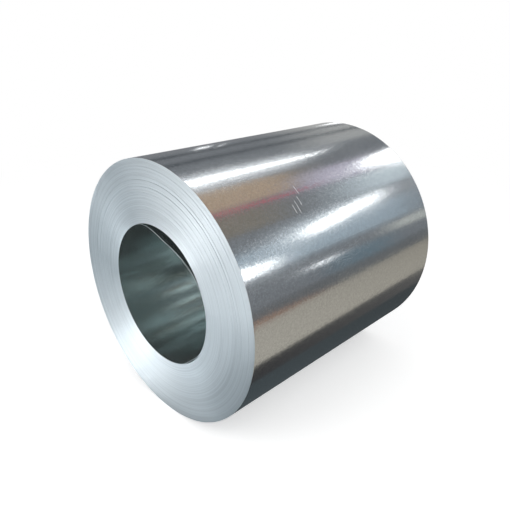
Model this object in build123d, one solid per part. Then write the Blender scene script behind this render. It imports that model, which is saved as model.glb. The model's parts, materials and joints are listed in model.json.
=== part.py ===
from build123d import *
import os

# A coil of galvanised steel strip, lying on its side with its eye level, as it is stored on a floor.
# Millimetres. The coil's axis runs along Y, +Z is up, and the origin is on the floor under its middle.

# Driving dimensions
bore_diameter = 508.0  # the eye, which fits a 508 mm recoiler mandrel
outer_diameter = 946.0  # over the last turn
strip_width = 1000.0  # along the axis, from one end face to the other
strip_thickness = 1.0  # one turn, zinc coat included
edge_rounding = 0.4  # roll-over of the slit edge on the first and the last turn

# Turns that lie back from the end faces, counted outwards from the bore. They show as thin dark rings.
set_back_turns = (20, 33, 49, 58, 75, 88, 108, 127, 149, 162, 181, 193, 209)
set_back_depth = 2.0

bore_radius = bore_diameter / 2
outer_radius = outer_diameter / 2
face_y = strip_width / 2


def wound_section():
    """The coil's section on one side of the axis: X is the radius and Y runs along the axis."""
    wound_depth = outer_radius - bore_radius
    section = Pos(bore_radius + wound_depth / 2, 0) * Rectangle(wound_depth, strip_width)
    return fillet(section.vertices(), edge_rounding)


def set_back_slots():
    """One slot, a turn wide, in each end of the section for every turn that lies back."""
    slots = []
    for turn in set_back_turns:
        slot_middle = bore_radius + (turn - 0.5) * strip_thickness
        if slot_middle + strip_thickness > outer_radius:
            continue
        for end in (-1, 1):
            slot_y = end * (face_y - set_back_depth / 2)
            slots.append(Pos(slot_middle, slot_y) * Rectangle(strip_thickness, set_back_depth))
    return slots


def wound_coil():
    """The whole coil as one turned solid, lifted until its last turn touches the floor."""
    section = wound_section() - set_back_slots()
    return Pos(0, 0, outer_radius) * revolve(section, Axis.Y)


os.makedirs("parts", exist_ok=True)
export_step(wound_coil(), "parts/wound_strip.step")
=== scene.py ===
import json
import math
import random

import bmesh
import bpy
from bpy.props import FloatProperty, FloatVectorProperty, IntProperty, PointerProperty
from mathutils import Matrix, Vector, noise


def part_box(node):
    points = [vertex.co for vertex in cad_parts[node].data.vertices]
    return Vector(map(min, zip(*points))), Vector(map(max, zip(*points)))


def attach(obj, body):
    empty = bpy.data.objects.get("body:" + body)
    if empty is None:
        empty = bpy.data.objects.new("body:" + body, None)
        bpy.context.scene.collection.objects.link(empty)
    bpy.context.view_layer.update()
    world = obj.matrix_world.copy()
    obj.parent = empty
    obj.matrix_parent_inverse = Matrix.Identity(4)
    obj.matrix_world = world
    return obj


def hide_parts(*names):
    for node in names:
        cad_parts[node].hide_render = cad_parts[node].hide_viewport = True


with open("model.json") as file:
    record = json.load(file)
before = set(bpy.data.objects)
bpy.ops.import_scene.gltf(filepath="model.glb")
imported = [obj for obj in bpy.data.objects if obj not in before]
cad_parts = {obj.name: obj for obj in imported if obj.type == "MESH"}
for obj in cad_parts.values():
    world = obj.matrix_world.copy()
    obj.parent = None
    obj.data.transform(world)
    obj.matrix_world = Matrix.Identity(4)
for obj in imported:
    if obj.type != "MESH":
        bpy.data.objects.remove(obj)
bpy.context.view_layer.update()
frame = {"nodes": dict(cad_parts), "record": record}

bl_info = {
    "name": "Galvanised steel coil",
    "version": (1, 0, 0),
    "blender": (4, 5, 0),
    "location": "3D View > Sidebar > Steel coil",
    "description": "Winds a coil of galvanised steel strip around its packed solid and sets up its studio",
    "category": "Object",
}

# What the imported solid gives. Metres, with the coil's axis along Y and the floor at zero height.
NODE = "wound_strip"
BODY = "root"
bore_mount = next(mount for mount in frame["record"]["mounts"] if mount["name"] == "bore")
AXIS_HEIGHT = bore_mount["pos_m"][2]
BORE_RADIUS = bore_mount["dims"]["r_mm"] / 1000
OUTER_RADIUS = AXIS_HEIGHT
FACE_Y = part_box(NODE)[1].y

# Steps in one turn. Angles round the axis start at +X and rise towards +Z, the way the strip is wound.
STEPS = 144
STEP_ANGLE = 360 / STEPS

# Rows of vertices that the first and the last turn have in one step
ROWS_PER_STEP = 2

# The two turns that lie back most from the end faces, counted outwards from the bore
DEEP_TURNS = (127, 150)

# Scratches on the last turn: place along the coil, then the angles of the two ends, in degrees
SCUFFS = (
    (-0.196, 40.5, 45.5),
    (-0.178, 40.0, 47.0),
    (-0.157, 43.0, 48.5),
    (-0.141, 48.0, 53.0),
)


class CoilSizes(bpy.types.PropertyGroup):
    """Sizes of the wound strip."""

    thickness: FloatProperty(
        name="Strip thickness",
        description="Thickness of one turn, zinc coat included",
        default=0.001,
        min=0.0003,
        max=0.004,
        unit="LENGTH",
        precision=4,
    )
    edge_rounding: FloatProperty(
        name="Edge rounding",
        description="Roll-over of the slit edge",
        default=0.0003,
        min=0.0,
        unit="LENGTH",
        precision=4,
    )
    groove: FloatProperty(
        name="Groove",
        description="Depth of the groove between two turns on the end faces",
        default=0.0002,
        min=0.0,
        unit="LENGTH",
        precision=4,
    )
    edge_play: FloatProperty(
        name="Edge play",
        description="How far one turn's edge may lie back from its neighbours",
        default=0.00006,
        min=0.0,
        unit="LENGTH",
        precision=5,
    )
    ring_depth: FloatProperty(
        name="Ring depth",
        description="How far the few turns that lie back most are set in, where they are deepest",
        default=0.0018,
        min=0.0,
        max=0.002,
        unit="LENGTH",
        precision=4,
    )
    wall_step: IntProperty(
        name="Where the loose end leaves the bore",
        description="Steps of 2.5 degrees from +X to where the first turn leaves the bore wall",
        default=45,
        min=0,
        max=STEPS,
    )
    loose_steps: IntProperty(
        name="Length of the loose end",
        description="Steps of 2.5 degrees from where it leaves the bore wall back to its free end",
        default=40,
        min=4,
        max=STEPS,
    )
    loose_gap: FloatProperty(
        name="Loose gap",
        description="How far the loose end of the first turn stands in from the bore wall",
        default=0.032,
        min=0.0,
        unit="LENGTH",
    )
    loose_peak: FloatProperty(
        name="Loose peak",
        description="Angle at which the loose end stands furthest in",
        default=math.radians(73),
        subtype="ANGLE",
    )
    parted_gap: FloatProperty(
        name="Parted gap",
        description="Gap behind the first turn where it has sprung in at the lower right of the bore",
        default=0.005,
        min=0.0,
        unit="LENGTH",
        precision=4,
    )
    tail_step: IntProperty(
        name="Where the strip ends",
        description="Steps of 2.5 degrees from +X to the end of the last turn",
        default=120,
        min=0,
        max=STEPS,
    )
    dent: FloatProperty(
        name="Unevenness",
        description="How far the last turn dips below its true radius between the two ends",
        default=0.0004,
        min=0.0,
        max=0.0008,
        unit="LENGTH",
        precision=4,
    )


class CoilFinish(bpy.types.PropertyGroup):
    """Colours and grain of the zinc coat and of the slit edges."""

    zinc: FloatVectorProperty(
        name="Zinc",
        description="Colour of the zinc coat",
        default=(0.66, 0.69, 0.71),
        subtype="COLOR",
        min=0.0,
        max=1.0,
    )
    # Zinc colour in the bore, partly painted: the extra green is a painted tint of the teal surroundings that
    # the bore reflects.
    bore_zinc_and_tint: FloatVectorProperty(
        name="Zinc in the bore",
        description="Colour of the zinc coat in the bore, a little greener than outside",
        default=(0.64, 0.70, 0.70),
        subtype="COLOR",
        min=0.0,
        max=1.0,
    )
    edge: FloatVectorProperty(
        name="Slit edge",
        description="Colour of the slit edges on the end faces",
        default=(0.72, 0.77, 0.80),
        subtype="COLOR",
        min=0.0,
        max=1.0,
    )
    crystal: FloatProperty(
        name="Crystal size",
        description="Width of one zinc crystal",
        default=0.0042,
        min=0.0005,
        unit="LENGTH",
        precision=4,
    )
    crystal_tilt: FloatProperty(
        name="Crystal tilt",
        description="How far one crystal leans from the surface, as a share of its normal",
        default=0.02,
        min=0.0,
        max=0.3,
    )
    roughness: FloatProperty(
        name="Roughness",
        description="Roughness of the brightest crystals",
        default=0.12,
        min=0.0,
        max=1.0,
    )
    dull_roughness: FloatProperty(
        name="Dull roughness",
        description="Roughness of the dullest crystals",
        default=0.18,
        min=0.0,
        max=1.0,
    )


class CoilStudio(bpy.types.PropertyGroup):
    """Floor, lamps and camera."""

    floor_colour: FloatVectorProperty(
        name="Floor",
        description="Colour of the floor",
        default=(0.86, 0.86, 0.86),
        subtype="COLOR",
        min=0.0,
        max=1.0,
    )
    floor_lift: FloatProperty(
        name="Floor lift",
        description="Light added to the floor where it is seen or reflected, so that it comes out white",
        default=0.5,
        min=0.0,
        max=1.0,
    )
    key_power: FloatProperty(
        name="Key lamp",
        description="Power of the large lamp in front of the coil",
        default=50.0,
        min=0.0,
        unit="POWER",
    )
    fill_power: FloatProperty(
        name="Fill lamp",
        description="Power of the lamp beside the coil",
        default=25.0,
        min=0.0,
        unit="POWER",
    )
    camera_place: FloatVectorProperty(
        name="Camera",
        description="Where the camera stands",
        default=(1.36343, -1.38616, 1.30785),
        subtype="TRANSLATION",
        unit="LENGTH",
    )
    camera_turn: FloatProperty(
        name="Camera bearing",
        description="Turn of the camera about the vertical, from looking along +Y",
        default=math.radians(45.146),
        subtype="ANGLE",
    )
    camera_dip: FloatProperty(
        name="Camera dip",
        description="How far the camera looks down",
        default=math.radians(23.243),
        subtype="ANGLE",
    )
    camera_lens: FloatProperty(
        name="Lens",
        description="Focal length in millimetres, on a 36 mm wide sensor",
        default=36.627,
        min=1.0,
    )


# The winding. A place along the strip is counted in steps from where the first turn lies on the bore wall.


def winding(sizes):
    """Last step of the strip, and how far its inner face moves out in one turn."""
    start_to_tail = (sizes.tail_step - sizes.wall_step) % STEPS
    depth = OUTER_RADIUS - BORE_RADIUS - sizes.thickness
    whole_turns = int(depth / sizes.thickness - start_to_tail / STEPS)
    last = whole_turns * STEPS + start_to_tail
    return last, depth * STEPS / last


def angle_at(step, sizes):
    return math.radians((step + sizes.wall_step) * STEP_ANGLE)


def point(radius, angle, y):
    return Vector((radius * math.cos(angle), y, AXIS_HEIGHT + radius * math.sin(angle)))


def ease(share):
    """Smooth rise from 0 to 1."""
    share = min(1.0, max(0.0, share))
    return share * share * (3 - 2 * share)


def loose_gap_at(angle, sizes):
    """How far the first turn stands in from its true place, at an angle on its first sweep round the bore."""
    wall = angle_at(0, sizes)
    free = angle_at(-sizes.loose_steps, sizes)
    if angle >= wall:
        return 0.0
    from_peak = angle - sizes.loose_peak
    reach = (wall if from_peak > 0 else free) - sizes.loose_peak
    return sizes.loose_gap * (1 + math.cos(math.pi * from_peak / reach)) / 2


def parted_gap_at(angle, sizes):
    """The small gap behind the first turn at the lower right of the bore."""
    low_end = math.radians(292)
    high_end = math.radians(330)
    if not low_end < angle < high_end:
        return 0.0
    return sizes.parted_gap * math.sin(math.pi * (angle - low_end) / (high_end - low_end)) ** 2


def dent_at(angle, y, sizes):
    """Slight unevenness of the last turn. It fades out at both ends and never stands proud."""
    fade_length = 0.08
    waves_round, waves_along = 1.4, 2.2
    fade = ease((FACE_Y - abs(y)) / fade_length)
    around = Vector((waves_round * math.cos(angle), waves_round * math.sin(angle), waves_along * y))
    return sizes.dent * fade * (0.5 + 0.5 * noise.noise(around))


# Meshes


def finish_mesh(name, vertices, faces, materials, face_slots=None, sharp_angle=50):
    """One closed piece of the coil, smooth but for its sharp edges, riding on the coil's body."""
    mesh = bpy.data.meshes.new(name)
    mesh.from_pydata(vertices, [], faces)
    for material in materials:
        mesh.materials.append(material)
    if face_slots:
        mesh.polygons.foreach_set("material_index", face_slots)
    shaped = bmesh.new()
    shaped.from_mesh(mesh)
    bmesh.ops.recalc_face_normals(shaped, faces=shaped.faces)
    shaped.to_mesh(mesh)
    shaped.free()
    mesh.shade_smooth()
    mesh.set_sharp_from_angle(angle=math.radians(sharp_angle))
    mesh.validate()
    piece = bpy.data.objects.new(name, mesh)
    bpy.context.scene.collection.objects.link(piece)
    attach(piece, BODY)
    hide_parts(NODE)
    return piece


def stations_along(count):
    """Places along the coil at which a sheet has vertices, the outermost just short of the two ends."""
    reach = 0.995
    return [FACE_Y * (2 * i / count - 1) * reach for i in range(count + 1)]


def wrapped_sheet(name, first, last, stations, inner_radius, sizes, materials):
    """A stretch of the strip as a closed sheet, between two steps. inner_radius gives its inner face."""
    rounding = sizes.edge_rounding
    thickness = sizes.thickness
    end_y = FACE_Y
    inner_side = [(0.0, -end_y + rounding)] + [(0.0, y) for y in stations] + [(0.0, end_y - rounding)]
    right_edge = [(rounding / thickness, end_y), (1 - rounding / thickness, end_y)]
    outer_side = [(1.0, y) for _, y in reversed(inner_side)]
    left_edge = [(1 - rounding / thickness, -end_y), (rounding / thickness, -end_y)]
    loop = inner_side + right_edge + outer_side + left_edge
    count = len(loop)

    # Places round the loop that make the two slit edges, which take the second material
    edge_faces = set(range(len(inner_side) - 1, len(inner_side) + 2))
    edge_faces |= set(range(count - 3, count))

    vertices = []
    faces = []
    face_slots = []
    rows = (last - first) * ROWS_PER_STEP
    for row in range(rows + 1):
        step = first + row / ROWS_PER_STEP
        angle = angle_at(step, sizes)
        for share, y in loop:
            vertices.append(point(inner_radius(step, angle, y) + share * thickness, angle, y))
    for row in range(rows):
        here = row * count
        there = here + count
        for place in range(count):
            following = (place + 1) % count
            faces.append((here + place, here + following, there + following, there + place))
            face_slots.append(1 if place in edge_faces else 0)

    # The cut at either end of the stretch: a row of faces between the two sides, and one at each slit edge
    side = len(inner_side)
    for start in (0, rows * count):
        for place in range(side - 1):
            opposite = side + 2 + (side - 1 - place)
            faces.append((start + place, start + place + 1, start + opposite - 1, start + opposite))
            face_slots.append(1)
        faces.append(tuple(start + i for i in (side - 1, side, side + 1, side + 2)))
        faces.append(tuple(start + i for i in (2 * side + 1, 2 * side + 2, 2 * side + 3, 0)))
        face_slots += [1, 1]
    return finish_mesh(name, vertices, faces, materials, face_slots)


def set_back_rings():
    """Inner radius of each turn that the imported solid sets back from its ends, read from the solid itself."""
    shallowest, deepest = 0.001, 0.02
    radii = set()
    for vertex in frame["nodes"][NODE].data.vertices:
        depth = FACE_Y - abs(vertex.co.y)
        if shallowest < depth < deepest:
            radii.add(round(math.hypot(vertex.co.x, vertex.co.z - AXIS_HEIGHT), 4))
    return sorted(radii)


def edge_relief(sizes, seed):
    """A function that gives how far the strip's edge lies back from the end face at a step along it."""
    last, pitch = winding(sizes)
    order = random.Random(seed)
    knots_per_turn = 3
    same_turn = 2
    deepest_between = (80, 170)
    shallow_strength = (0.15, 0.5)
    jitter = [order.random() for _ in range(last // STEPS * knots_per_turn + 2 * knots_per_turn)]
    radii = set_back_rings()
    rings = []
    for inner, outer in zip(radii[::2], radii[1::2]):
        middle_turn = ((inner + outer) / 2 - BORE_RADIUS) / pitch
        deep = any(abs(middle_turn - turn) < same_turn for turn in DEEP_TURNS)
        deepest_at = math.radians(order.uniform(*deepest_between))
        rings.append((middle_turn, deepest_at, 1.0 if deep else order.uniform(*shallow_strength)))

    def relief(step):
        place = step / STEPS * knots_per_turn
        index = int(place)
        share = ease(place - index)
        depth = sizes.edge_play * (jitter[index] * (1 - share) + jitter[index + 1] * share)
        turn = step / STEPS
        angle = angle_at(step, sizes)
        for middle_turn, deepest_at, strength in rings:
            apart = abs(turn + 0.5 - middle_turn)
            if apart < 1.0:
                around = 0.5 + 0.5 * math.cos(angle - deepest_at)
                depth += sizes.ring_depth * strength * around * (1 - ease(apart))
        return depth

    return relief


def turn_edges(name, end, seed, sizes, materials):
    """The turns between the first and the last, from the middle of the coil to one end, as one closed ring.

    end is -1 for the front and 1 for the back. Each turn's edge is a flat land with a slope down to the
    groove on either side of it.
    """
    last, pitch = winding(sizes)
    first_step = STEPS
    last_step = last - STEPS
    relief = edge_relief(sizes, seed)
    land_margin = 0.2 * sizes.thickness
    vertices = []

    def add(radius, step, y):
        vertices.append(point(radius, angle_at(step, sizes), end * y))
        return len(vertices) - 1

    grooves, inner_lands, outer_lands = {}, {}, {}
    for step in range(first_step, last_step + STEPS + 1):
        radius = BORE_RADIUS + pitch * step / STEPS
        neighbours = [relief(s) for s in (step, step - STEPS) if first_step <= s <= last_step]
        grooves[step] = add(radius, step, FACE_Y - max(neighbours) - sizes.groove)
        if step <= last_step:
            y = FACE_Y - relief(step)
            inner_lands[step] = add(radius + land_margin, step, y)
            outer_lands[step] = add(radius + sizes.thickness - land_margin, step, y)
    faces = []
    for step in range(first_step, last_step):
        rows = (grooves, inner_lands, outer_lands)
        for one, other in zip(rows[:-1], rows[1:]):
            faces.append((one[step], other[step], other[step + 1], one[step + 1]))
        next_turn = step + STEPS
        faces.append((outer_lands[step], grooves[next_turn], grooves[next_turn + 1], outer_lands[step + 1]))

    def base_row(start):
        """One turn's points at the middle of the coil."""
        return {s: add(BORE_RADIUS + pitch * s / STEPS, s, 0.0) for s in range(start, start + STEPS + 1)}

    # Hidden sides of the ring, down to the middle of the coil
    inner_base = base_row(first_step)
    outer_base = base_row(last_step)
    for bases in (inner_base, outer_base):
        steps = sorted(bases)
        for step in steps[:-1]:
            faces.append((grooves[step], grooves[step + 1], bases[step + 1], bases[step]))
        low, high = steps[0], steps[-1]
        ends = [grooves[low], inner_lands[low], outer_lands[low], grooves[high], bases[high], bases[low]]
        faces.append(tuple(ends))
    for offset in range(STEPS):
        inner_step = first_step + offset
        outer_step = last_step + (inner_step - last_step) % STEPS
        corners = [inner_base[inner_step], inner_base[inner_step + 1]]
        corners += [outer_base[outer_step + 1], outer_base[outer_step]]
        if outer_step == last_step:
            corners.insert(3, outer_base[last_step + STEPS])
        if inner_step == first_step:
            corners.append(inner_base[first_step + STEPS])
        faces.append(tuple(corners))
    return finish_mesh(name, vertices, faces, materials)


# Materials


class Nodes:
    """Adds nodes to one tree and links them as they are made."""

    def __init__(self, tree):
        self.tree = tree
        tree.nodes.clear()

    def feed(self, socket, value):
        """Links an output to an input socket, or sets the socket's own value."""
        if isinstance(value, bpy.types.NodeSocket):
            self.tree.links.new(value, socket)
        else:
            socket.default_value = value

    def add(self, kind, inputs=None, **settings):
        node = self.tree.nodes.new(kind)
        for name, value in settings.items():
            setattr(node, name, value)
        for name, value in (inputs or {}).items():
            self.feed(node.inputs[name], value)
        return node

    def math(self, operation, first, second=0.0, third=0.0):
        inputs = {0: first, 1: second, 2: third}
        return self.add("ShaderNodeMath", inputs, operation=operation).outputs[0]

    def vector(self, operation, first, second=(0, 0, 0)):
        return self.add("ShaderNodeVectorMath", {0: first, 1: second}, operation=operation).outputs[0]

    def scaled(self, vector, factor):
        node = self.add("ShaderNodeVectorMath", {0: vector, "Scale": factor}, operation="SCALE")
        return node.outputs[0]

    def spread(self, value, low, high, to_low=0.0, to_high=1.0):
        """Maps a range of values to another, smoothly and without overshoot."""
        inputs = {"Value": value, "From Min": low, "From Max": high, "To Min": to_low, "To Max": to_high}
        return self.add("ShaderNodeMapRange", inputs, interpolation_type="SMOOTHSTEP").outputs["Result"]

    def mixed(self, factor, first, second):
        """A colour between two. Each of them is a socket, or its red, green and blue."""
        node = self.add("ShaderNodeMix", {"Factor": factor}, data_type="RGBA")
        for name, colour in (("A", first), ("B", second)):
            socket = next(s for s in node.inputs if s.name == name and s.type == "RGBA")
            self.feed(socket, colour if isinstance(colour, bpy.types.NodeSocket) else (*colour[:3], 1.0))
        return next(s for s in node.outputs if s.type == "RGBA")


def new_group(name, inputs, outputs):
    """A shader node group. Each socket is given by its name, its kind and, for an input, its default."""
    tree = bpy.data.node_groups.new(name, "ShaderNodeTree")
    nodes = Nodes(tree)
    for label, kind, default in inputs:
        socket = tree.interface.new_socket(name=label, in_out="INPUT", socket_type=kind)
        if default is not None:
            socket.default_value = default
    for label, kind in outputs:
        tree.interface.new_socket(name=label, in_out="OUTPUT", socket_type=kind)
    source = nodes.add("NodeGroupInput")
    result = nodes.add("NodeGroupOutput")
    return tree, nodes, source.outputs, result.inputs


def spangle_group():
    """Zinc crystals: each has its own tone and gloss and leans its own way."""
    border_waves = 300.0
    border_wander = 0.0015
    middle = (0.5, 0.5, 0.5)
    tree, nodes, given, result = new_group(
        "zinc_spangle",
        [
            ("Vector", "NodeSocketVector", None),
            ("Crystal Size", "NodeSocketFloat", 0.004),
            ("Tilt", "NodeSocketFloat", 0.03),
        ],
        [
            ("Tone", "NodeSocketFloat"),
            ("Dullness", "NodeSocketFloat"),
            ("Normal", "NodeSocketVector"),
        ],
    )
    scale = nodes.math("DIVIDE", 1.0, given["Crystal Size"])
    waves = {"Vector": given["Vector"], "Scale": border_waves, "Detail": 2.0}
    wander = nodes.add("ShaderNodeTexNoise", waves)
    shift = nodes.vector("SUBTRACT", wander.outputs["Color"], middle)
    moved = nodes.vector("ADD", given["Vector"], nodes.scaled(shift, border_wander))
    crystals = nodes.add("ShaderNodeTexVoronoi", {"Vector": moved, "Scale": scale})
    split = nodes.add("ShaderNodeSeparateColor", {"Color": crystals.outputs["Color"]})
    lean = nodes.vector("SUBTRACT", crystals.outputs["Color"], middle)
    geometry = nodes.add("ShaderNodeNewGeometry")
    leaning = nodes.vector("ADD", geometry.outputs["Normal"], nodes.scaled(lean, given["Tilt"]))
    nodes.feed(result["Tone"], split.outputs["Red"])
    nodes.feed(result["Dullness"], split.outputs["Green"])
    nodes.feed(result["Normal"], nodes.vector("NORMALIZE", leaning))
    return tree


def rolling_group():
    """Marks of the rolls: fine lines round the coil, and faint flutes along it where the strip was wound."""
    # Waves in a metre in X, Y and Z
    line_waves = (2.5, 900.0, 2.5)
    flute_waves = (120.0, 1.2, 120.0)
    tree, nodes, given, result = new_group(
        "rolling_marks",
        [
            ("Vector", "NodeSocketVector", None),
            ("Lines", "NodeSocketFloat", 1.0),
            ("Flutes", "NodeSocketFloat", 1.0),
        ],
        [("Height", "NodeSocketFloat")],
    )
    centred = nodes.vector("SUBTRACT", given["Vector"], (0.0, 0.0, AXIS_HEIGHT))
    round_lines = nodes.vector("MULTIPLY", centred, line_waves)
    lines = nodes.add("ShaderNodeTexNoise", {"Vector": round_lines, "Scale": 1.0, "Detail": 3.0})
    along = nodes.vector("MULTIPLY", centred, flute_waves)
    flutes = nodes.add("ShaderNodeTexNoise", {"Vector": along, "Scale": 1.0, "Detail": 4.0})
    line_height = nodes.math("MULTIPLY", lines.outputs["Fac"], given["Lines"])
    flute_height = nodes.math("MULTIPLY", flutes.outputs["Fac"], given["Flutes"])
    nodes.feed(result["Height"], nodes.math("ADD", line_height, flute_height))
    return tree


def handling_group():
    """Large soft patches where the surface has dulled in handling and storage."""
    clear_below, dull_above = 0.4, 0.7
    tree, nodes, given, result = new_group(
        "handling_dullness",
        [
            ("Vector", "NodeSocketVector", None),
            ("Patch Size", "NodeSocketFloat", 0.2),
        ],
        [("Mask", "NodeSocketFloat")],
    )
    scale = nodes.math("DIVIDE", 1.0, given["Patch Size"])
    patches = nodes.add("ShaderNodeTexNoise", {"Vector": given["Vector"], "Scale": scale, "Detail": 4.0})
    nodes.feed(result["Mask"], nodes.spread(patches.outputs["Fac"], clear_below, dull_above))
    return tree


def new_material(name):
    material = bpy.data.materials.new(name)
    material.use_nodes = True
    return material, Nodes(material.node_tree)


def tones(colour, darkest, lightest=1.06):
    """A darker and a lighter tone of a colour, each given as a share of it."""
    dark = [channel * darkest for channel in colour]
    light = [min(1.0, channel * lightest) for channel in colour]
    return dark, light


def scuff_mask(nodes, place):
    """A few short pale scratches round the coil, side by side on the last turn near the end face."""
    half_width = 0.0019
    strongest = 0.75
    split = nodes.add("ShaderNodeSeparateXYZ", {"Vector": place}).outputs
    height = nodes.math("SUBTRACT", split["Z"], AXIS_HEIGHT)
    angle = nodes.math("ARCTAN2", height, split["X"])
    mask = 0.0
    for y, low, high in SCUFFS:
        away = nodes.math("ABSOLUTE", nodes.math("SUBTRACT", split["Y"], y))
        line = nodes.spread(away, 0.0, half_width, strongest, 0.0)
        middle = math.radians((low + high) / 2)
        half_length = math.radians((high - low) / 2)
        along = nodes.math("ABSOLUTE", nodes.math("SUBTRACT", angle, middle))
        fade = nodes.spread(along, half_length / 2, half_length, 1.0, 0.0)
        mask = nodes.math("MAXIMUM", mask, nodes.math("MULTIPLY", line, fade))
    return mask


def zinc_material(name, zinc, finish, groups, grain=1.0, flutes=1.0, metallic=1.0, scuffed=False):
    """Bright zinc coat. grain is how much its crystals lean, as a share of the finish's own tilt."""
    lines = 0.06
    bright_crystals = 0.3
    handled_roughness = 0.04
    scuff_colour = (0.9, 0.92, 0.94)
    scuff_roughness = 0.4
    mark_strength, mark_depth = 0.2, 0.0004
    material, nodes = new_material(name)
    place = nodes.add("ShaderNodeTexCoord").outputs["Object"]
    size_and_tilt = {"Vector": place, "Crystal Size": finish.crystal, "Tilt": finish.crystal_tilt * grain}
    spangle = nodes.add("ShaderNodeGroup", size_and_tilt, node_tree=groups["spangle"])
    marks = {"Vector": place, "Lines": lines, "Flutes": flutes}
    rolling = nodes.add("ShaderNodeGroup", marks, node_tree=groups["rolling"])
    handling = nodes.add("ShaderNodeGroup", {"Vector": place}, node_tree=groups["handling"])
    colour = nodes.mixed(spangle.outputs["Tone"], *tones(zinc, darkest=0.93))
    dullness = spangle.outputs["Dullness"]
    roughness = nodes.spread(dullness, bright_crystals, 1.0, finish.roughness, finish.dull_roughness)
    roughness = nodes.math("MULTIPLY_ADD", handling.outputs["Mask"], handled_roughness, roughness)
    if scuffed:
        scuffs = scuff_mask(nodes, place)
        colour = nodes.mixed(scuffs, colour, scuff_colour)
        roughness = nodes.math("MULTIPLY_ADD", scuffs, scuff_roughness, roughness)
        metallic = nodes.math("MULTIPLY_ADD", scuffs, -metallic, metallic)
    bump = nodes.add(
        "ShaderNodeBump",
        {
            "Height": rolling.outputs["Height"],
            "Normal": spangle.outputs["Normal"],
            "Strength": mark_strength,
            "Distance": mark_depth,
        },
    )
    shader = nodes.add(
        "ShaderNodeBsdfPrincipled",
        {
            "Base Color": colour,
            "Metallic": metallic,
            "Roughness": roughness,
            "Normal": bump.outputs["Normal"],
        },
    )
    nodes.add("ShaderNodeOutputMaterial", {"Surface": shader.outputs["BSDF"]})
    return material


def edge_material(name, finish, groups):
    """Slit edges of the strip: bright satin metal, a little different from turn to turn."""
    waves_outwards, waves_round = 420.0, 0.6
    dark_below, light_above = 0.3, 0.7
    satin_roughness = 0.36
    handled_roughness = 0.05
    material, nodes = new_material(name)
    place = nodes.add("ShaderNodeTexCoord").outputs["Object"]
    centred = nodes.vector("SUBTRACT", place, (0.0, 0.0, AXIS_HEIGHT))
    flat = nodes.vector("MULTIPLY", centred, (1.0, 0.0, 1.0))
    radius = nodes.add("ShaderNodeVectorMath", {0: flat}, operation="LENGTH").outputs["Value"]
    direction = nodes.scaled(nodes.vector("NORMALIZE", flat), waves_round)
    outwards = nodes.add("ShaderNodeCombineXYZ", {"Y": nodes.math("MULTIPLY", radius, waves_outwards)})
    rings_at = nodes.vector("ADD", direction, outwards.outputs[0])
    rings = nodes.add("ShaderNodeTexNoise", {"Vector": rings_at, "Scale": 1.0, "Detail": 4.0})
    handling = nodes.add("ShaderNodeGroup", {"Vector": place}, node_tree=groups["handling"])
    tone = nodes.spread(rings.outputs["Fac"], dark_below, light_above)
    colour = nodes.mixed(tone, *tones(finish.edge, darkest=0.91))
    mask = handling.outputs["Mask"]
    roughness = nodes.math("MULTIPLY_ADD", mask, handled_roughness, satin_roughness)
    shader = nodes.add(
        "ShaderNodeBsdfPrincipled",
        {"Base Color": colour, "Metallic": 1.0, "Roughness": roughness},
    )
    nodes.add("ShaderNodeOutputMaterial", {"Surface": shader.outputs["BSDF"]})
    return material


def coil_materials(scene):
    """The coil's three materials, made once."""
    found = [bpy.data.materials.get(name) for name in ("zinc_outside", "zinc_bore", "slit_edges")]
    if all(found):
        return found
    finish = scene.coil_finish
    groups = {"spangle": spangle_group(), "rolling": rolling_group(), "handling": handling_group()}
    return [
        zinc_material("zinc_outside", finish.zinc, finish, groups, scuffed=True),
        # The bore's zinc takes the colour with the painted teal reflection tint.
        zinc_material("zinc_bore", finish.bore_zinc_and_tint, finish, groups, grain=0.4, flutes=0.6, metallic=0.94),
        edge_material("slit_edges", finish, groups),
    ]


# Studio


def card_material(name, near_colour, far_colour, strength, soft):
    """Light of one card, from its near to its far colour.

    soft gives the share of it that fades out at both sides, at its near end and at its far end.
    """
    material, nodes = new_material(name)
    place = nodes.add("ShaderNodeSeparateXYZ", {"Vector": nodes.add("ShaderNodeUVMap").outputs["UV"]}).outputs
    colour = nodes.mixed(place["Y"], near_colour, far_colour)
    light = nodes.add("ShaderNodeEmission", {"Color": colour, "Strength": strength})
    to_side = nodes.math("MINIMUM", place["X"], nodes.math("SUBTRACT", 1.0, place["X"]))
    to_far_end = nodes.math("SUBTRACT", 1.0, place["Y"])
    shown = 1.0
    for from_edge, width in zip((to_side, place["Y"], to_far_end), soft):
        if width:
            shown = nodes.math("MULTIPLY", shown, nodes.spread(from_edge, 0.0, width))
    clear = nodes.add("ShaderNodeBsdfTransparent")
    mix = nodes.add("ShaderNodeMixShader", {0: shown, 1: clear.outputs[0], 2: light.outputs[0]})
    nodes.add("ShaderNodeOutputMaterial", {"Surface": mix.outputs[0]})
    return material


def stage_mesh(name, vertices, faces, material):
    mesh = bpy.data.meshes.new(name)
    mesh.from_pydata(vertices, [], faces)
    mesh.materials.append(material)
    thing = bpy.data.objects.new(name, mesh)
    bpy.context.scene.collection.objects.link(thing)
    return thing


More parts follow.
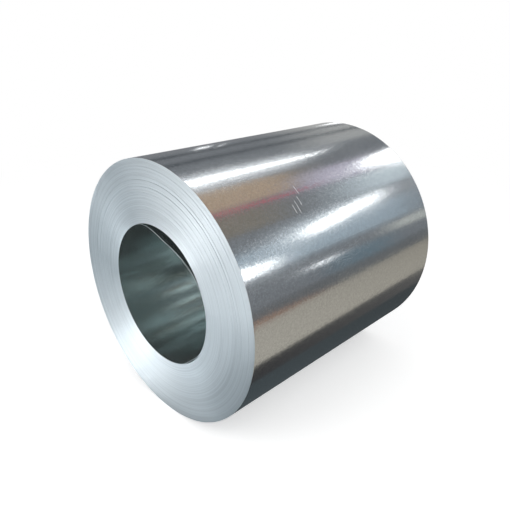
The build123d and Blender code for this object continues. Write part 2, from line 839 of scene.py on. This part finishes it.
def reflector(name, place_at, colour, far_colour=None, strength=1.0, soft=(0, 0, 0)):
    """A card that only the metal shows: it lights nothing else and throws no shadow.

    place_at gives its point for a share across it and a share along it, from its near to its far end.
    """
    columns, rows = 48, 6
    vertices = [place_at(i / columns, j / rows) for j in range(rows + 1) for i in range(columns + 1)]
    faces = []
    for row in range(rows):
        for column in range(columns):
            corner = row * (columns + 1) + column
            faces.append((corner, corner + 1, corner + columns + 2, corner + columns + 1))
    material = card_material(name, colour, far_colour or colour, strength, soft)
    card = stage_mesh(name, vertices, faces, material)
    unwrapped = card.data.uv_layers.new(name="card")
    for loop in card.data.loops:
        row, column = divmod(loop.vertex_index, columns + 1)
        unwrapped.data[loop.index].uv = (column / columns, row / rows)
    card.visible_camera = False
    card.visible_diffuse = False
    card.visible_shadow = False
    card.visible_transmission = False
    card.visible_volume_scatter = False
    return card


def between(pair, share):
    return pair[0] + (pair[1] - pair[0]) * share


def arc_card(name, radius, bearings, lengths, colour, far=None, **look):
    """A curved card round the coil's axis, from one bearing to another, in degrees, and one Y to another.

    far gives the two bearings at the card's far end, where they differ from those at its near end.
    """

    def place_at(across, along):
        bearing = between((between(bearings, across), between(far or bearings, across)), along)
        return point(radius, math.radians(bearing), between(lengths, along))

    return reflector(name, place_at, colour, **look)


def level_card(name, across, lengths, height, colour, **look):
    """A level card, from one X to another and one Y to another."""

    def place_at(share_across, along):
        return between(across, share_across), between(lengths, along), height

    return reflector(name, place_at, colour, **look)


def seen_rays(nodes):
    """1 for rays from the camera, for reflected and for transmitted ones, and 0 for all others."""
    path = nodes.add("ShaderNodeLightPath").outputs
    seen = nodes.math("MAXIMUM", path["Is Camera Ray"], path["Is Glossy Ray"])
    return nodes.math("MAXIMUM", seen, path["Is Transmission Ray"])


def floor_material(studio):
    """Pale floor: its own colour and the coil's shadow, lifted to white where it is seen or reflected."""
    fade_start, fade_end = 1.2, 4.0
    material, nodes = new_material("studio_floor")
    place = nodes.add("ShaderNodeTexCoord").outputs["Object"]
    distance = nodes.add("ShaderNodeVectorMath", {0: place}, operation="LENGTH").outputs["Value"]
    seen = seen_rays(nodes)
    fade = nodes.math("MULTIPLY", seen, nodes.spread(distance, fade_start, fade_end))
    diffuse = nodes.add("ShaderNodeBsdfDiffuse", {"Color": (*studio.floor_colour, 1.0)})
    lift = nodes.add("ShaderNodeEmission", {"Strength": nodes.math("MULTIPLY", seen, studio.floor_lift)})
    near_coil = nodes.add("ShaderNodeAddShader", {0: diffuse.outputs[0], 1: lift.outputs[0]})
    white = nodes.add("ShaderNodeEmission", {"Color": (1, 1, 1, 1), "Strength": 1.0})
    mix = nodes.add("ShaderNodeMixShader", {0: fade, 1: near_coil.outputs[0], 2: white.outputs[0]})
    nodes.add("ShaderNodeOutputMaterial", {"Surface": mix.outputs[0]})
    return material


def studio_world(scene):
    """White to the camera and in reflections, and a plain level of light for everything else."""
    unseen_level = 0.55
    world = bpy.data.worlds.new("studio_world")
    world.use_nodes = True
    scene.world = world
    nodes = Nodes(world.node_tree)
    strength = nodes.spread(seen_rays(nodes), 0.0, 1.0, unseen_level, 1.0)
    background = nodes.add("ShaderNodeBackground", {"Color": (1, 1, 1, 1), "Strength": strength})
    nodes.add("ShaderNodeOutputWorld", {"Surface": background.outputs[0]})


# Colours of the reflector cards
WHITE = (1.0, 1.0, 1.0)
SKY = (0.92, 0.97, 1.0)
GREY = (0.225, 0.235, 0.25)
DARK = (0.09, 0.10, 0.11)
BLUE_GREY = (0.42, 0.50, 0.56)
PALE_BLUE = (0.70, 0.78, 0.82)
TEAL = (0.17, 0.23, 0.27)
BROWN = (0.27, 0.24, 0.20)
TAN = (0.53, 0.40, 0.29)
LILAC = (0.60, 0.56, 0.66)
RED = (1.0, 0.07, 0.13)


def surround_cards():
    """The dim hall round the coil, which darkens the metal between the lights."""
    all_round = (-12, 192)
    arc_card("hall_behind", 3.4, all_round, (0.6, 25.0), GREY)
    arc_card("hall_in_front", 3.4, all_round, (-25.0, -0.9), GREY)
    arc_card("hall_window", 3.3, (100, 185), (-8.0, -1.2), WHITE, strength=0.85, soft=(0.25, 0.1, 0.1))
    arc_card("hall_front", 3.25, (92, 176), (-22.0, -5.0), WHITE, strength=5.0, soft=(0.15, 0, 0.1))
    arc_card("hall_right", 3.3, (-10, 16), (-8.0, -2.6), WHITE, strength=1.1, soft=(0.2, 0.1, 0.1))
    arc_card("hall_side", 3.2, (136, 180), (-7.0, -2.6), WHITE, strength=1.3, soft=(0.25, 0.1, 0.25))
    arc_card("hall_lamp", 3.3, (42, 56), (-5.0, -1.5), WHITE, strength=1.6, soft=(0.2, 0.1, 0.1))
    arc_card("key_card", 2.1, (76, 140), (-4.9, -1.9), WHITE, strength=1.3, soft=(0.3, 0.2, 0.2))
    arc_card("far_glow", 3.38, (116, 192), (3.0, 7.0), (0.46, 0.46, 0.45), soft=(0, 0.35, 0))
    arc_card("roof_beam", 3.36, (131, 138), (0.6, 6.5), DARK, far=(133, 139), soft=(0.3, 0, 0.2))
    arc_card("roof_rail", 3.36, (148, 156), (0.6, 6.5), DARK, far=(150, 157), soft=(0.3, 0, 0.2))
    arc_card(
        "roof_lamp", 3.3, (160, 165), (2.1, 2.34), WHITE, far=(159, 164), strength=3.0, soft=(0.3, 0.3, 0.2)
    )
    arc_card("small_roof_lamp", 3.3, (156, 160), (2.42, 2.5), WHITE, strength=2.4, soft=(0.3, 0.3, 0.3))
    arc_card("blue_wall", 3.35, (15, 39), (0.8, 5.5), BLUE_GREY, far=(13, 39), soft=(0.2, 0, 0.2))
    arc_card("teal_wall", 3.3, (-11, 7), (2.8, 4.4), TEAL, far=(-11, 5), soft=(0.1, 0.2, 0.2))
    arc_card("brown_wall", 3.3, (50, 72), (0.8, 3.0), BROWN, far=(50, 70), soft=(0.15, 0, 0.4))
    arc_card("pale_wall", 3.3, (48, 76), (2.9, 5.6), PALE_BLUE, far=(48, 70), soft=(0.25, 0.6, 0))
    arc_card("tan_wall", 3.25, (73, 98), (0.8, 3.3), TAN, far=(75, 93), soft=(0.06, 0, 0.3))
    arc_card("lilac_wall", 3.2, (68, 90), (2.6, 4.4), LILAC, far=(66, 92), soft=(0.3, 0.4, 0.1))


def bright_cards():
    """Lamps and doors that the last turn shows as white patches, a thin red line, and the bore's lamp."""
    arc_card("strip_haze", 3.15, (88, 122), (0.8, 3.6), (0.80, 0.82, 0.84), far=(94, 118), soft=(0.4, 0, 0.3))
    arc_card(
        "strip", 3.0, (101.5, 110), (0.8, 3.5), WHITE, far=(105, 106.5), strength=3.5, soft=(0.15, 0, 0.1)
    )
    arc_card("door_haze", 3.15, (16, 48), (1.6, 4.8), (0.72, 0.79, 0.84), far=(28, 62), soft=(0.5, 0.3, 0.4))
    arc_card("door", 3.0, (28, 38), (2.35, 3.95), WHITE, far=(41, 50), strength=3.6, soft=(0.2, 0.2, 0.2))
    arc_card("far_door", 3.0, (76, 84), (3.8, 5.4), WHITE, far=(60, 98), strength=3.0, soft=(0.1, 0.12, 0))
    arc_card(
        "near_lamp", 3.0, (17, 27), (0.9, 2.0), WHITE, far=(17.5, 25.5), strength=3.5, soft=(0.2, 0, 0.3)
    )
    arc_card(
        "thin_lamp", 3.0, (4.4, 6.4), (2.25, 2.78), WHITE, far=(5.4, 7.6), strength=3.0, soft=(0.2, 0.3, 0.1)
    )
    arc_card("far_panel", 3.0, (6, 13), (3.75, 5.4), (0.60, 0.61, 0.57), far=(3, 14), soft=(0.05, 0.1, 0))
    arc_card("red_line", 3.0, (70.7, 72.0), (0.8, 3.2), RED, far=(70.9, 72.1), soft=(0.1, 0, 0.4))
    level_card("back_lamp", (-0.45, -0.1), (0.76, 1.02), 1.0, WHITE, strength=2.7, soft=(0.25, 0.2, 0.2))


def ground_cards():
    """The ground: warm beside the coil, a painted shadow under it and along its side, and cool in front of its
    end faces.
    """
    level_card("dim_ground", (1.6, 8.0), (-0.8, 8.0), 0.0015, (0.16, 0.165, 0.17))
    level_card("left_ground", (-8.0, -0.5), (-2.6, 8.0), 0.001, (0.42, 0.43, 0.44), soft=(0.02, 0.05, 0.1))
    level_card(
        "warm_ground", (0.69, 1.72), (-0.7, 3.0), 0.002, (0.54, 0.50, 0.43), far_colour=(0.33, 0.30, 0.25)
    )
    level_card("red_ground", (1.6, 2.15), (-0.7, 1.6), 0.0025, (0.36, 0.22, 0.16), soft=(0.3, 0, 0.4))
    # Painted shadow: a dark card along the coil's side, which the metal shows in place of the shade next to the
    # coil, darkest nearest to it.
    level_card(
        "shaded_ground", (0.52, 0.70), (-0.7, 3.0), 0.004, (0.03, 0.03, 0.033), far_colour=(0.22, 0.21, 0.20)
    )
    # Painted shadow: a dark card under the coil and behind it, which the metal shows in place of the coil's
    # shadow on the floor.
    under, far_under = (0.072, 0.087, 0.094), (0.04, 0.04, 0.04)
    level_card("painted_shadow_under", (-0.54, 0.54), (-0.495, 3.0), 0.003, under, far_colour=far_under)
    level_card("front_ground", (-3.2, 0.45), (-4.0, -0.5), 0.0025, (0.26, 0.305, 0.33), soft=(0.08, 0.05, 0))
    level_card(
        "front_right_ground", (0.1, 5.0), (-5.0, -0.6), 0.0022, (0.70, 0.73, 0.75), soft=(0.08, 0, 0.1)
    )
    level_card(
        "front_near_ground", (-0.1, 1.4), (-1.7, -0.5), 0.003, (0.24, 0.27, 0.29), soft=(0.15, 0.15, 0)
    )
    soft_edges = (0.2, 0.2, 0.2)
    level_card("front_patch", (-0.65, -0.1), (-1.15, -0.56), 0.0055, SKY, strength=2.5, soft=soft_edges)
    level_card("front_side_patch", (-0.9, -0.25), (-1.4, -0.6), 0.005, SKY, strength=0.6, soft=soft_edges)
    level_card("front_lane", (-4.6, 0.7), (-2.3, -7.0), 0.006, SKY, strength=2.4, soft=(0.12, 0.12, 0.1))
    level_card("back_ground", (-3.2, 0.5), (0.5, 4.0), 0.0025, (0.36, 0.45, 0.44), soft=(0.08, 0.05, 0.05))
    level_card("back_patch", (-0.82, -0.12), (0.5, 1.1), 0.005, SKY, strength=1.5, soft=soft_edges)


def area_lamp(name, place, target, size, power):
    light = bpy.data.lights.new(name, "AREA")
    light.shape = "RECTANGLE"
    light.size, light.size_y = size
    light.energy = power
    lamp = bpy.data.objects.new(name, light)
    lamp.location = place
    lamp.rotation_mode = "QUATERNION"
    lamp.rotation_quaternion = (Vector(target) - Vector(place)).to_track_quat("-Z", "Y")
    lamp.visible_glossy = False
    bpy.context.scene.collection.objects.link(lamp)
    return lamp


# Operators


class COIL_OT_outer_turn(bpy.types.Operator):
    """Wrap the last turn round the coil, up to the end of the strip"""

    bl_idname = "coil.outer_turn"
    bl_label = "Outer turn"

    def execute(self, context):
        sizes = context.scene.coil_sizes
        zinc, _, edges = coil_materials(context.scene)
        last, pitch = winding(sizes)
        stations = stations_along(40)

        def inner_radius(step, angle, y):
            return BORE_RADIUS + pitch * step / STEPS - dent_at(angle, y, sizes)

        wrapped_sheet("outer_turn", last - STEPS, last, stations, inner_radius, sizes, [zinc, edges])
        return {"FINISHED"}


class COIL_OT_inner_turn(bpy.types.Operator):
    """Line the bore with the first turn, with its loose end"""

    bl_idname = "coil.inner_turn"
    bl_label = "Inner turn and loose end"

    def execute(self, context):
        sizes = context.scene.coil_sizes
        _, zinc, edges = coil_materials(context.scene)
        _, pitch = winding(sizes)
        stations = stations_along(16)

        def inner_radius(step, angle, y):
            gap = loose_gap_at(angle, sizes) + parted_gap_at(angle, sizes)
            return BORE_RADIUS + pitch * step / STEPS - gap

        wrapped_sheet("inner_turn", -sizes.loose_steps, STEPS, stations, inner_radius, sizes, [zinc, edges])
        return {"FINISHED"}


class COIL_OT_turn_edges(bpy.types.Operator):
    """Wind the turns between the first and the last, whose edges make the two end faces"""

    bl_idname = "coil.turn_edges"
    bl_label = "Turns on the end faces"

    def execute(self, context):
        sizes = context.scene.coil_sizes
        _, _, edges = coil_materials(context.scene)
        turn_edges("front_turns", end=-1, seed=3, sizes=sizes, materials=[edges])
        turn_edges("back_turns", end=1, seed=8, sizes=sizes, materials=[edges])
        return {"FINISHED"}


class COIL_OT_studio(bpy.types.Operator):
    """Set up the floor, the lamps, the reflector cards and the camera"""

    bl_idname = "coil.studio"
    bl_label = "Studio"

    def execute(self, context):
        scene = context.scene
        studio = scene.coil_studio
        reach = 30.0
        corners = [(-reach, -reach, 0), (reach, -reach, 0), (reach, reach, 0), (-reach, reach, 0)]
        stage_mesh("studio_floor", corners, [(0, 1, 2, 3)], floor_material(studio))
        studio_world(scene)
        area_lamp("key_lamp", (-0.7, -3.3, 2.4), (0, -0.4, 0.4), (2.8, 2.8), studio.key_power)
        area_lamp("fill_lamp", (2.8, 0.5, 3.0), (0, 0, 0.4), (2.4, 2.4), studio.fill_power)
        surround_cards()
        bright_cards()
        ground_cards()
        camera_data = bpy.data.cameras.new("camera")
        camera_data.sensor_width = 36.0
        camera_data.lens = studio.camera_lens
        camera_data.clip_end = 200.0
        camera = bpy.data.objects.new("camera", camera_data)
        camera.location = studio.camera_place
        camera.rotation_euler = (math.pi / 2 - studio.camera_dip, 0.0, studio.camera_turn)
        scene.collection.objects.link(camera)
        scene.camera = camera
        scene.view_settings.view_transform = "Standard"
        return {"FINISHED"}


class COIL_PT_panel(bpy.types.Panel):
    """The steps that build the coil and its studio, in order"""

    bl_idname = "COIL_PT_panel"
    bl_label = "Steel coil"
    bl_space_type = "VIEW_3D"
    bl_region_type = "UI"
    bl_category = "Steel coil"

    def draw(self, context):
        layout = self.layout
        for settings in (context.scene.coil_sizes, context.scene.coil_finish, context.scene.coil_studio):
            box = layout.box()
            for name in settings.__annotations__:
                box.prop(settings, name)
        for operator in OPERATORS:
            layout.operator(operator.bl_idname)


SETTINGS = (CoilSizes, CoilFinish, CoilStudio)
OPERATORS = (COIL_OT_outer_turn, COIL_OT_inner_turn, COIL_OT_turn_edges, COIL_OT_studio)


def register():
    for kind in (*SETTINGS, *OPERATORS, COIL_PT_panel):
        bpy.utils.register_class(kind)
    bpy.types.Scene.coil_sizes = PointerProperty(type=CoilSizes)
    bpy.types.Scene.coil_finish = PointerProperty(type=CoilFinish)
    bpy.types.Scene.coil_studio = PointerProperty(type=CoilStudio)


def unregister():
    del bpy.types.Scene.coil_studio
    del bpy.types.Scene.coil_finish
    del bpy.types.Scene.coil_sizes
    for kind in reversed((*SETTINGS, *OPERATORS, COIL_PT_panel)):
        bpy.utils.unregister_class(kind)


def main():
    register()
    bpy.ops.coil.outer_turn()
    bpy.ops.coil.inner_turn()
    bpy.ops.coil.turn_edges()
    bpy.ops.coil.studio()


if __name__ == "__main__":
    main()
